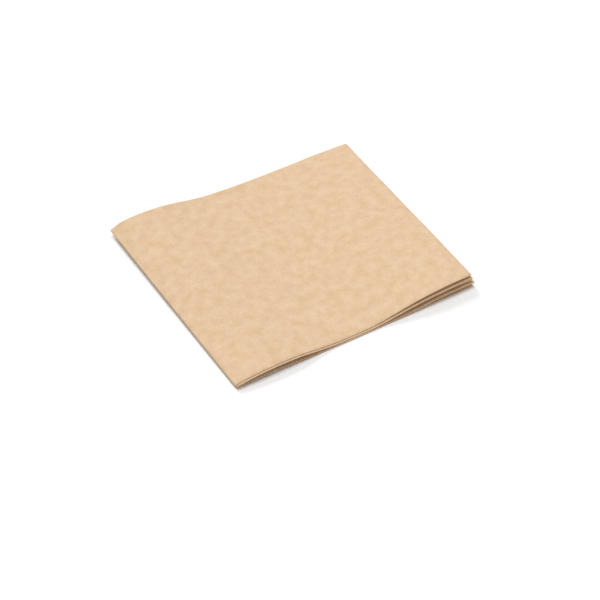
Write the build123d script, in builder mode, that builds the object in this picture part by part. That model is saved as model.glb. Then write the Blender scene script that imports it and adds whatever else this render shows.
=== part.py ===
"""A paper napkin: one rectangular sheet of soft tissue, folded in half and then in half again.

The sheet is first folded along a line parallel to X, which gives the crease at the back (+Y).
That pair of leaves is then folded along a line parallel to Y, which gives the nested fold at the
left (-X).  The front (-Y) and right (+X) sides show the cut edges of the four leaves.

Frame: X across the width, Y along the depth, Z up.  The origin is under the middle of the folded
napkin, on the plane that it lies on.  Units are millimetres.
"""
import os

from build123d import *

# Folded size; the sheet measures twice as much each way when it is opened out
folded_width = 165.0
folded_depth = 150.0

# Tissue
sheet_thickness = 0.25
leaf_pitch = 0.45  # from the middle of one pressed leaf to the middle of the next

# Where the leaves' cut edges stop short of each other
front_stagger = 0.9  # inner leaves, behind the outer leaves at the front
open_stagger = 0.8  # upper leaves, behind the lower leaves at the right

# Lie of the napkin: heights of the outer leaf's middle above the table
fold_lift = 1.5  # lower leaf, at the nested fold
lower_crest = 2.5  # lower leaf, over the arch beside the fold
upper_crest = 5.4  # upper leaf, over the same arch
open_height = 8.6  # upper leaf, at the right-hand cut edge
open_rise = 0.11  # slope of the upper leaf where it ends
fold_slack = 0.5  # added to the height of the pressed leaves inside the nested fold

# Where these lie, as distances from the fold
crest_place = 22.0
valley_start = 72.0  # the pressed part, where all four leaves touch the table together
valley_end = 94.0
landing_place = 54.0  # where the lower leaves come down to the table

# Sizes that follow
half_thickness = sheet_thickness / 2
crease_outer = (leaf_pitch + sheet_thickness) / 2
crease_inner = (leaf_pitch - sheet_thickness) / 2
fold_radius = 1.5 * leaf_pitch + fold_slack / 2
fold_edge = -folded_width / 2
fold_start = fold_edge + half_thickness + fold_radius
open_edge = folded_width / 2
front_edge = -folded_depth / 2
crease_centre = folded_depth / 2 - crease_outer
pressed_height = half_thickness + 3 * leaf_pitch


def hairpin(plane):
    """Section across the crease: an outer and an inner leaf joined by a half turn at the back."""
    outer_face = -half_thickness
    outer_inside = half_thickness
    inner_inside = leaf_pitch - half_thickness
    inner_face = leaf_pitch + half_thickness
    middle = leaf_pitch / 2
    inner_front = front_edge + front_stagger
    with BuildSketch(plane) as section:
        with BuildLine():
            Line((front_edge, outer_inside), (front_edge, outer_face))
            Line((front_edge, outer_face), (crease_centre, outer_face))
            ThreePointArc(
                (crease_centre, outer_face),
                (crease_centre + crease_outer, middle),
                (crease_centre, inner_face),
            )
            Line((crease_centre, inner_face), (inner_front, inner_face))
            Line((inner_front, inner_face), (inner_front, inner_inside))
            Line((inner_front, inner_inside), (crease_centre, inner_inside))
            ThreePointArc(
                (crease_centre, inner_inside),
                (crease_centre + crease_inner, middle),
                (crease_centre, outer_inside),
            )
            Line((crease_centre, outer_inside), (front_edge, outer_inside))
        make_face()
    return section.sketch


with BuildPart() as napkin:
    # The upper leaves, the nested fold and the lower leaves as far as they touch down
    with BuildLine(Plane.XZ) as lie:
        Spline(
            (open_edge - open_stagger, open_height),
            (fold_edge + valley_end, pressed_height),
            tangents=[(-1, -open_rise), (-1, 0)],
        )
        Line((fold_edge + valley_end, pressed_height), (fold_edge + valley_start, pressed_height))
        Spline(
            (fold_edge + valley_start, pressed_height),
            (fold_edge + crest_place, upper_crest),
            (fold_start, fold_lift + 2 * fold_radius),
            tangents=[(-1, 0), (-1, 0), (-1, 0)],
        )
        ThreePointArc(
            (fold_start, fold_lift + 2 * fold_radius),
            (fold_start - fold_radius, fold_lift + fold_radius),
            (fold_start, fold_lift),
        )
        Spline(
            (fold_start, fold_lift),
            (fold_edge + crest_place, lower_crest),
            (fold_edge + landing_place, half_thickness),
            tangents=[(1, 0), (1, 0), (1, 0)],
        )
    open_end = Plane(origin=lie.line @ 0, x_dir=(0, 1, 0), z_dir=lie.line % 0)
    sweep(hairpin(open_end), path=lie.line)

    # The lower leaves from there to the open edge, flat on the table
    touch_down = Plane(
        origin=(fold_edge + landing_place, 0, half_thickness), x_dir=(0, 1, 0), z_dir=(1, 0, 0)
    )
    extrude(hairpin(touch_down), amount=folded_width - landing_place)

napkin.part.label = "napkin"
os.makedirs("parts", exist_ok=True)
export_step(napkin.part, "parts/napkin.step")
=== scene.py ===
"""The looks of a paper napkin: one sheet of soft unbleached tissue, folded in half twice.

Lengths in this script are millimetres until a mesh, lamp or camera is made; Blender's are metres.
"""
import math

import bpy
import numpy as np
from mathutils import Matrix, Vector, noise


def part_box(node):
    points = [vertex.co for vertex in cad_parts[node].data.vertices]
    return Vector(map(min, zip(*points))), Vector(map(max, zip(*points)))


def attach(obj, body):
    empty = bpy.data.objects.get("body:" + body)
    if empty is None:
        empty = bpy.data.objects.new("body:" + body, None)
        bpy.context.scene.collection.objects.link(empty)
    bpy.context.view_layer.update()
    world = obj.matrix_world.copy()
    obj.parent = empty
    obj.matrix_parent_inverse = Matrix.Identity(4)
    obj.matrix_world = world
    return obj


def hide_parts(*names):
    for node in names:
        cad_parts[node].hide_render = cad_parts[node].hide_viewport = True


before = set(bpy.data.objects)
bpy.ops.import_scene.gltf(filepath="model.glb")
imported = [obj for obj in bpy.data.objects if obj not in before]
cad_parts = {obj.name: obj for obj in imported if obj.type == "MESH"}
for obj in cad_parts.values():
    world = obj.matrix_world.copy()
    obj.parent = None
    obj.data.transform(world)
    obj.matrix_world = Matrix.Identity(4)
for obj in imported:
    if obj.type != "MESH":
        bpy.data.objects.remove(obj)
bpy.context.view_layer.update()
MM = 0.001

# The folded napkin's outline on the table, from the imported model
low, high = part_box("napkin")
FOLD_X, OPEN_X = low.x / MM, high.x / MM
FRONT_Y, BACK_Y = low.y / MM, high.y / MM
WIDTH = OPEN_X - FOLD_X
DEPTH = BACK_Y - FRONT_Y

# Tissue
THICKNESS = 0.25  # of the two plies together
PITCH = 0.45  # from the middle of one pressed leaf to the middle of the next
HALF = THICKNESS / 2

# Where cut edges and folds stray from each other
INNER_REACH = 1.2  # inner leaves show this much past the outer leaves at the front
LOWER_SWING = 0.8  # lower leaves show this much more than the upper leaves at the front right
LOWER_REACH = 0.9  # lower leaves show this much past the upper leaves at the right
NEST_REACH = 0.35  # inner leaves show this much past the outer leaves at the right
FOLD_SKEW = 1.2  # the nested fold leans this much off square at each end
OPEN_SKEW = 1.4  # so does the right-hand edge, the other way
DEPTH_GAIN = 0.65  # front and back lie this much further out at the fold, and further in at the right
EDGE_WAVER = 0.15  # unevenness of the cut
EDGE_WAVE = 25  # length of its waves
LOWER_SHIFT, INNER_SHIFT = 40, 20  # places in the noise that give each leaf its own cut

# The turns of the sheet
FOLD_DEPTH = 1.0  # of the nested fold, from where the leaves start to turn
CREASE_DEPTH = 0.4

# Mesh: steps round a turn, and spacing close to the turn and further from it
FOLD_STEPS, FOLD_SPACING, NEAR_FOLD = 10, 0.55, 6
CREASE_STEPS, CREASE_SPACING, NEAR_CREASE = 8, 0.5, 4
LEG_SPACING = 2.3

# Section of the cut edge, as (share of the half thickness up, outward): the two plies meet in a
# shallow groove
RIM_SECTION = [(0.62, 0.055), (0.0, -0.09), (-0.62, 0.055)]

# Heights of the top leaf's middle above the table, as (share of the width from the fold, height)
TOP_AT_FRONT = [
    (0.0, 3.2), (0.05, 4.3), (0.10, 4.9), (0.17, 5.3), (0.25, 4.9), (0.33, 3.2), (0.42, 1.75),
    (0.50, 1.5), (0.58, 2.0), (0.67, 4.2), (0.75, 6.4), (0.84, 8.0), (0.92, 8.6), (1.0, 8.7),
]
TOP_AT_BACK = [
    (0.0, 4.9), (0.03, 7.2), (0.07, 8.4), (0.12, 8.7), (0.18, 8.3), (0.25, 6.9), (0.33, 4.2),
    (0.42, 2.5), (0.50, 1.8), (0.60, 1.6), (0.75, 1.8), (0.86, 2.3), (1.0, 2.1),
]
# The lowest leaf arches beside the fold and then lies on the table
BOTTOM_AT_FRONT = [
    (0.0, 1.3), (0.06, 1.7), (0.13, 1.8), (0.22, 1.0), (0.33, HALF), (1.0, HALF),
]
BOTTOM_AT_BACK = [
    (0.0, 3.0), (0.05, 3.6), (0.11, 3.4), (0.21, 1.8), (0.33, HALF), (1.0, HALF),
]
# How the shape passes from front to back: the leaves' heights, and the parting of the lower pair
BACK_POWER = 1.1
LOWER_POWER = 1.3
# Unevenness of the upper leaves, as (height, length of its waves, seed)
RIPPLES = [(0.25, 38, 3.1), (0.07, 14, 7.7)]
# The part of the free height by which the leaves of a pair stand apart at the front
UPPER_PARTING = [(0.0, 0.0), (0.3, 0.0), (0.5, 0.2), (0.67, 0.27), (1.0, 0.26)]
LOWER_PARTING = [(0.0, 0.0), (0.4, 0.04), (0.67, 0.11), (0.75, 0.2), (0.84, 0.36), (1.0, 0.42)]


def curve(points, at):
    """Heights at the places in at, on a smooth curve through the points that keeps between them."""
    place, height = np.array(points, float).T
    run = np.diff(place)
    steep = np.diff(height) / run
    before, after = steep[:-1], steep[1:]
    same_way = before * after > 0
    between = np.where(same_way, 2 * before * after / np.where(same_way, before + after, 1), 0)
    slope = np.concatenate([steep[:1], between, steep[-1:]])
    left = np.clip(np.searchsorted(place, at) - 1, 0, len(run) - 1)
    t = np.clip((at - place[left]) / run[left], 0, 1)
    return (
        (2 * t**3 - 3 * t**2 + 1) * height[left]
        + (t**3 - 2 * t**2 + t) * run[left] * slope[left]
        + (3 * t**2 - 2 * t**3) * height[left + 1]
        + (t**3 - t**2) * run[left] * slope[left + 1]
    )


def ripple(x, y, wave, seed):
    """Smooth noise between about -1 and 1 over the table's plane."""
    flat = np.stack([x.ravel() / wave, y.ravel() / wave], axis=1)
    values = [noise.noise(Vector((a, b, seed))) for a, b in flat]
    return np.array(values).reshape(x.shape)


def leaf_heights(p, q):
    """Heights of the four leaves' middles, top one first, at shares p of the width from the
    fold and q of the depth from the front."""
    x, y = p * WIDTH, q * DEPTH
    to_back = q**BACK_POWER
    top = (1 - to_back) * curve(TOP_AT_FRONT, p) + to_back * curve(TOP_AT_BACK, p)
    bottom = (1 - to_back) * curve(BOTTOM_AT_FRONT, p) + to_back * curve(BOTTOM_AT_BACK, p)
    free = np.clip(top - bottom - 3 * PITCH, 0, None)
    uneven = sum(height * ripple(x, y, wave, seed) for height, wave, seed in RIPPLES)
    top = top + np.clip(free, 0, 1) * uneven
    free = np.clip(top - bottom - 3 * PITCH, 0, None)
    top = bottom + 3 * PITCH + free
    upper_gap = PITCH + free * (1 - q) * curve(UPPER_PARTING, p)
    lower_gap = PITCH + free * (1 - q) ** LOWER_POWER * curve(LOWER_PARTING, p)
    return top, top - upper_gap, bottom + lower_gap, bottom


def stations(start, end, fine, coarse, fine_length):
    """Places from start to end, close together over fine_length at the end and further before."""
    away = np.linspace(start, end - fine_length, max(2, round((end - fine_length - start) / coarse)))
    near = np.linspace(end - fine_length, end, max(2, round(fine_length / fine)))
    return np.concatenate([away, near[1:]])


def turn_and_legs(length, turn_steps, fine, coarse, fine_length):
    """For a leg, a half turn and a leg back: distance from the turn, and the turn's angle."""
    leg = length - stations(0, length, fine, coarse, fine_length)
    angles = np.linspace(0, math.pi, turn_steps + 1)[1:-1]
    distance = np.concatenate([leg, np.zeros(len(angles)), leg[::-1]])
    angle = np.concatenate([np.zeros(len(leg)), angles, np.full(len(leg), math.pi)])
    return distance, angle


def sheet_middle():
    """Grid of points on the middle of the folded sheet, and their places on the flat sheet."""
    leg_x, leg_y = WIDTH - FOLD_DEPTH, DEPTH - CREASE_DEPTH
    along_u, fold_angle = turn_and_legs(leg_x, FOLD_STEPS, FOLD_SPACING, LEG_SPACING, NEAR_FOLD)
    along_v, crease_angle = turn_and_legs(
        leg_y, CREASE_STEPS, CREASE_SPACING, LEG_SPACING, NEAR_CREASE
    )
    u_away, v_away = np.meshgrid(along_u, along_v, indexing="ij")
    fold, crease = np.meshgrid(fold_angle, crease_angle, indexing="ij")

    inner = (1 - np.cos(crease)) / 2  # 0 on the outer leaves and 1 on the inner ones
    below = (1 - np.cos(fold)) / 2  # 0 on the upper leaves and 1 on the lower ones
    p = u_away / leg_x
    q = 1 - v_away / leg_y

    # Plan position: legs between the turns and the cut edges, which stray a little
    off_square = 1 - 2 * q
    own_cut = LOWER_SHIFT * below + INNER_SHIFT * inner
    turn_x = FOLD_X + FOLD_DEPTH + FOLD_SKEW * off_square
    open_x = OPEN_X - LOWER_REACH * (1 - below) - NEST_REACH * (1 - inner) - OPEN_SKEW * off_square
    open_x += EDGE_WAVER * ripple(own_cut, q * DEPTH, EDGE_WAVE, 1.3)
    gain = DEPTH_GAIN * (1 - 2 * p)
    turn_y = BACK_Y - CREASE_DEPTH + gain
    front_y = FRONT_Y + INNER_REACH * (1 - inner) + LOWER_SWING * p * (1 - below) - gain
    front_y += EDGE_WAVER * ripple(p * WIDTH, own_cut, EDGE_WAVE, 5.9)
    x = turn_x + p * (open_x - turn_x)
    y = front_y + q * (turn_y - front_y) + CREASE_DEPTH * np.sin(crease)

    first, second, third, fourth = leaf_heights(p, q)
    upper_height = first + (second - first) * inner
    lower_height = fourth + (third - fourth) * inner
    middle = (upper_height + lower_height) / 2
    reach = (upper_height - lower_height) / 2
    z = middle + reach * np.cos(fold)
    x = x - (FOLD_DEPTH - inner * PITCH) * np.sin(fold)

    # Places on the flat sheet, whose middle lines are the fold and the crease
    u_sign = np.where(fold > math.pi / 2, 1.0, -1.0)
    v_sign = np.where(crease > math.pi / 2, 1.0, -1.0)
    u_turn = (fold / math.pi - 0.5) * 2 * FOLD_DEPTH
    v_turn = (crease / math.pi - 0.5) * 2 * CREASE_DEPTH
    u = WIDTH + np.where(u_away > 0, u_sign * (u_away + FOLD_DEPTH), u_turn)
    v = DEPTH + np.where(v_away > 0, v_sign * (v_away + CREASE_DEPTH), v_turn)
    return np.stack([x, y, z], axis=-1), np.stack([u, v], axis=-1)


def grid_normals(points):
    """Unit normals of a grid of points."""
    du = np.gradient(points, axis=0)
    dv = np.gradient(points, axis=1)
    normal = np.cross(du, dv)
    return normal / np.linalg.norm(normal, axis=-1, keepdims=True)


def build_sheet():
    """The folded sheet as one closed mesh with the thickness of the tissue."""
    middle, flat = sheet_middle()
    normal = grid_normals(middle)
    rows, columns = middle.shape[:2]
    faces_up = middle + normal * HALF
    faces_down = middle - normal * HALF

    # The rim, in order round the sheet
    rim = (
        [(i, 0) for i in range(rows - 1)]
        + [(rows - 1, j) for j in range(columns - 1)]
        + [(i, columns - 1) for i in range(rows - 1, 0, -1)]
        + [(0, j) for j in range(columns - 1, 0, -1)]
    )
    ri = np.array([r for r, _ in rim])
    rj = np.array([c for _, c in rim])
    inward = np.stack([np.clip(ri, 1, rows - 2), np.clip(rj, 1, columns - 2)])
    outward = middle[ri, rj] - middle[inward[0], inward[1]]
    outward /= np.linalg.norm(outward, axis=-1, keepdims=True)
    loops = [
        middle[ri, rj] + normal[ri, rj] * HALF * up + outward * out for up, out in RIM_SECTION
    ]

    count = rows * columns
    vertices = np.concatenate([faces_up.reshape(-1, 3), faces_down.reshape(-1, 3), *loops])
    places = np.concatenate([flat.reshape(-1, 2)] * 2 + [flat[ri, rj]] * len(loops))

    index = np.arange(count).reshape(rows, columns)
    a, b = index[:-1, :-1].ravel(), index[1:, :-1].ravel()
    c, d = index[1:, 1:].ravel(), index[:-1, 1:].ravel()
    up_faces = np.stack([a, b, c, d], axis=1)
    down_faces = np.stack([d, c, b, a], axis=1) + count
    n = len(rim)
    rings = [index[ri, rj]]
    rings += [2 * count + k * n + np.arange(n) for k in range(len(loops))]
    rings += [index[ri, rj] + count]
    rim_faces = []
    for above, beneath in zip(rings[:-1], rings[1:]):
        rim_faces.append(
            np.stack([above, beneath, np.roll(beneath, -1), np.roll(above, -1)], axis=1)
        )
    faces = np.concatenate([up_faces, down_faces, *rim_faces])

    mesh = bpy.data.meshes.new("napkin_sheet")
    mesh.from_pydata((vertices * MM).tolist(), [], faces.tolist())
    layer = mesh.uv_layers.new(name="flat_sheet")
    corners = np.zeros(len(mesh.loops), np.int32)
    mesh.loops.foreach_get("vertex_index", corners)
    layer.data.foreach_set("uv", (places[corners] * MM).ravel().astype(np.float32))
    mesh.polygons.foreach_set("use_smooth", np.ones(len(mesh.polygons), bool))
    mesh.update()
    napkin = bpy.data.objects.new("napkin_sheet", mesh)
    bpy.context.scene.collection.objects.link(napkin)
    return napkin


def node(tree, kind, place=(0, 0), **settings):
    """A shader node with its settings; a setting named as an input sets that input's value."""
    made = tree.nodes.new(kind)
    made.location = place
    for name, value in settings.items():
        if name.startswith("in_"):
            made.inputs[name[3:].replace("_", " ")].default_value = value
        else:
            setattr(made, name, value)
    return made


def srgb(red, green, blue):
    """A linear colour from its 0 to 255 display values."""
    def linear(value):
        value /= 255
        return value / 12.92 if value <= 0.04045 else ((value + 0.055) / 1.055) ** 2.4
    return (linear(red), linear(green), linear(blue), 1.0)


def tissue_material():
    """Unbleached tissue: cloudy formation, fine fibres and a soft matt face."""
    material = bpy.data.materials.new("kraft_tissue")
    material.use_nodes = True
    tree = material.node_tree
    link = tree.links.new
    shader = tree.nodes["Principled BSDF"]
    shader.inputs["Roughness"].default_value = 0.92
    shader.inputs["Specular IOR Level"].default_value = 0.18
    shader.inputs["Sheen Weight"].default_value = 0.12
    shader.inputs["Sheen Roughness"].default_value = 0.6

    flat = node(tree, "ShaderNodeUVMap", (-1400, 0), uv_map="flat_sheet")
    cloud = node(tree, "ShaderNodeTexNoise", (-1200, 200), in_Scale=160.0, in_Detail=3.0)
    speck = node(tree, "ShaderNodeTexNoise", (-1200, 0), in_Scale=1100.0, in_Detail=4.0)
    fibre_map = node(tree, "ShaderNodeMapping", (-1200, -250))
    fibre_map.inputs["Scale"].default_value = (500.0, 1900.0, 1.0)
    fibre_map.inputs["Rotation"].default_value = (0.0, 0.0, 0.35)
    fibre = node(tree, "ShaderNodeTexNoise", (-1000, -250), in_Scale=1.0, in_Detail=3.0)
    link(flat.outputs["UV"], cloud.inputs["Vector"])
    link(flat.outputs["UV"], speck.inputs["Vector"])
    link(flat.outputs["UV"], fibre_map.inputs["Vector"])
    link(fibre_map.outputs["Vector"], fibre.inputs["Vector"])

    tone = node(tree, "ShaderNodeValToRGB", (-800, 200))
    tone.color_ramp.elements[0].position = 0.3
    tone.color_ramp.elements[0].color = srgb(227, 193, 155)
    tone.color_ramp.elements[1].position = 0.7
    tone.color_ramp.elements[1].color = srgb(239, 208, 173)
    link(cloud.outputs["Fac"], tone.inputs["Fac"])

    fleck = node(tree, "ShaderNodeValToRGB", (-800, 0))
    fleck.color_ramp.elements[0].position = 0.28
    fleck.color_ramp.elements[0].color = (0.86, 0.83, 0.80, 1)
    fleck.color_ramp.elements[1].position = 0.55
    fleck.color_ramp.elements[1].color = (1.02, 1.02, 1.02, 1)
    link(speck.outputs["Fac"], fleck.inputs["Fac"])

    tint = node(tree, "ShaderNodeMix", (-500, 150), data_type="RGBA", blend_type="MULTIPLY")
    tint.inputs["Factor"].default_value = 0.8
    link(tone.outputs["Color"], tint.inputs["A"])
    link(fleck.outputs["Color"], tint.inputs["B"])
    link(tint.outputs["Result"], shader.inputs["Base Color"])

    rough = node(tree, "ShaderNodeMix", (-700, -250), data_type="FLOAT")
    rough.inputs["Factor"].default_value = 0.5
    link(speck.outputs["Fac"], rough.inputs["A"])
    link(fibre.outputs["Fac"], rough.inputs["B"])
    bump = node(tree, "ShaderNodeBump", (-400, -250), in_Strength=0.25, in_Distance=0.00025)
    link(rough.outputs["Result"], bump.inputs["Height"])
    link(bump.outputs["Normal"], shader.inputs["Normal"])
    return material


def floor_material():
    """A white floor: seen as white by the camera, and keeping the napkin's shadow."""
    material = bpy.data.materials.new("white_floor")
    material.use_nodes = True
    tree = material.node_tree
    tree.nodes.remove(tree.nodes["Principled BSDF"])
    output = tree.nodes["Material Output"]
    seen = node(tree, "ShaderNodeLightPath", (-600, 200))
    shade = node(tree, "ShaderNodeMix", (-300, 100), data_type="RGBA")
    shade.inputs["A"].default_value = (0.75, 0.75, 0.75, 1)
    shade.inputs["B"].default_value = (1.08, 1.08, 1.08, 1)
    diffuse = node(tree, "ShaderNodeBsdfDiffuse", (-100, 0))
    tree.links.new(seen.outputs["Is Camera Ray"], shade.inputs["Factor"])
    tree.links.new(shade.outputs["Result"], diffuse.inputs["Color"])
    tree.links.new(diffuse.outputs["BSDF"], output.inputs["Surface"])
    return material


def build_floor():
    """The surface that the napkin lies on."""
    reach = 3.0
    gap = 0.00002  # keeps the floor just under the lowest leaf's face
    mesh = bpy.data.meshes.new("floor")
    corners = [(-reach, -reach, 0), (reach, -reach, 0), (reach, reach, 0), (-reach, reach, 0)]
    mesh.from_pydata(corners, [], [(0, 1, 2, 3)])
    floor = bpy.data.objects.new("floor", mesh)
    floor.location.z = -gap
    bpy.context.scene.collection.objects.link(floor)
    mesh.materials.append(floor_material())


def place_camera():
    """A long lens looking down on the napkin, with the closed corner to the left."""
    azimuth, elevation, distance = math.radians(329.33), math.radians(44.46), 1.2263
    target = Vector((-0.01357, -0.03129, 0))
    back = Vector((
        math.sin(azimuth) * math.cos(elevation),
        -math.cos(azimuth) * math.cos(elevation),
        math.sin(elevation),
    ))
    data = bpy.data.cameras.new("camera")
    data.lens = 125
    data.sensor_width = 36
    camera = bpy.data.objects.new("camera", data)
    camera.location = target + back * distance
    camera.rotation_euler = (-back).to_track_quat("-Z", "Y").to_euler()
    bpy.context.scene.collection.objects.link(camera)
    bpy.context.scene.camera = camera


def soft_sun(name, toward, share, width):
    """A distant lamp that gives a level surface this share of its light, from a disc of sky this
    many degrees wide."""
    toward = Vector(toward).normalized()
    data = bpy.data.lights.new(name, "SUN")
    data.energy = math.pi * share / toward.z
    data.angle = math.radians(width)
    lamp = bpy.data.objects.new(name, data)
    lamp.rotation_euler = toward.to_track_quat("Z", "Y").to_euler()
    bpy.context.scene.collection.objects.link(lamp)


def place_lights():
    """A wide soft light overhead, a second one from behind, and a plain white surround."""
    world = bpy.data.worlds.new("surround")
    world.use_nodes = True
    background = world.node_tree.nodes["Background"]
    background.inputs["Color"].default_value = (1, 1, 1, 1)
    background.inputs["Strength"].default_value = 0.42
    bpy.context.scene.world = world
    soft_sun("overhead", (-0.02, 0.12, 1.0), 0.40, 40)
    soft_sun("behind", (-0.05, 1.0, 0.75), 0.18, 18)


napkin = build_sheet()
napkin.data.materials.append(tissue_material())
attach(napkin, "root")
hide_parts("napkin")

build_floor()
place_camera()
place_lights()
bpy.context.scene.view_settings.view_transform = "Standard"
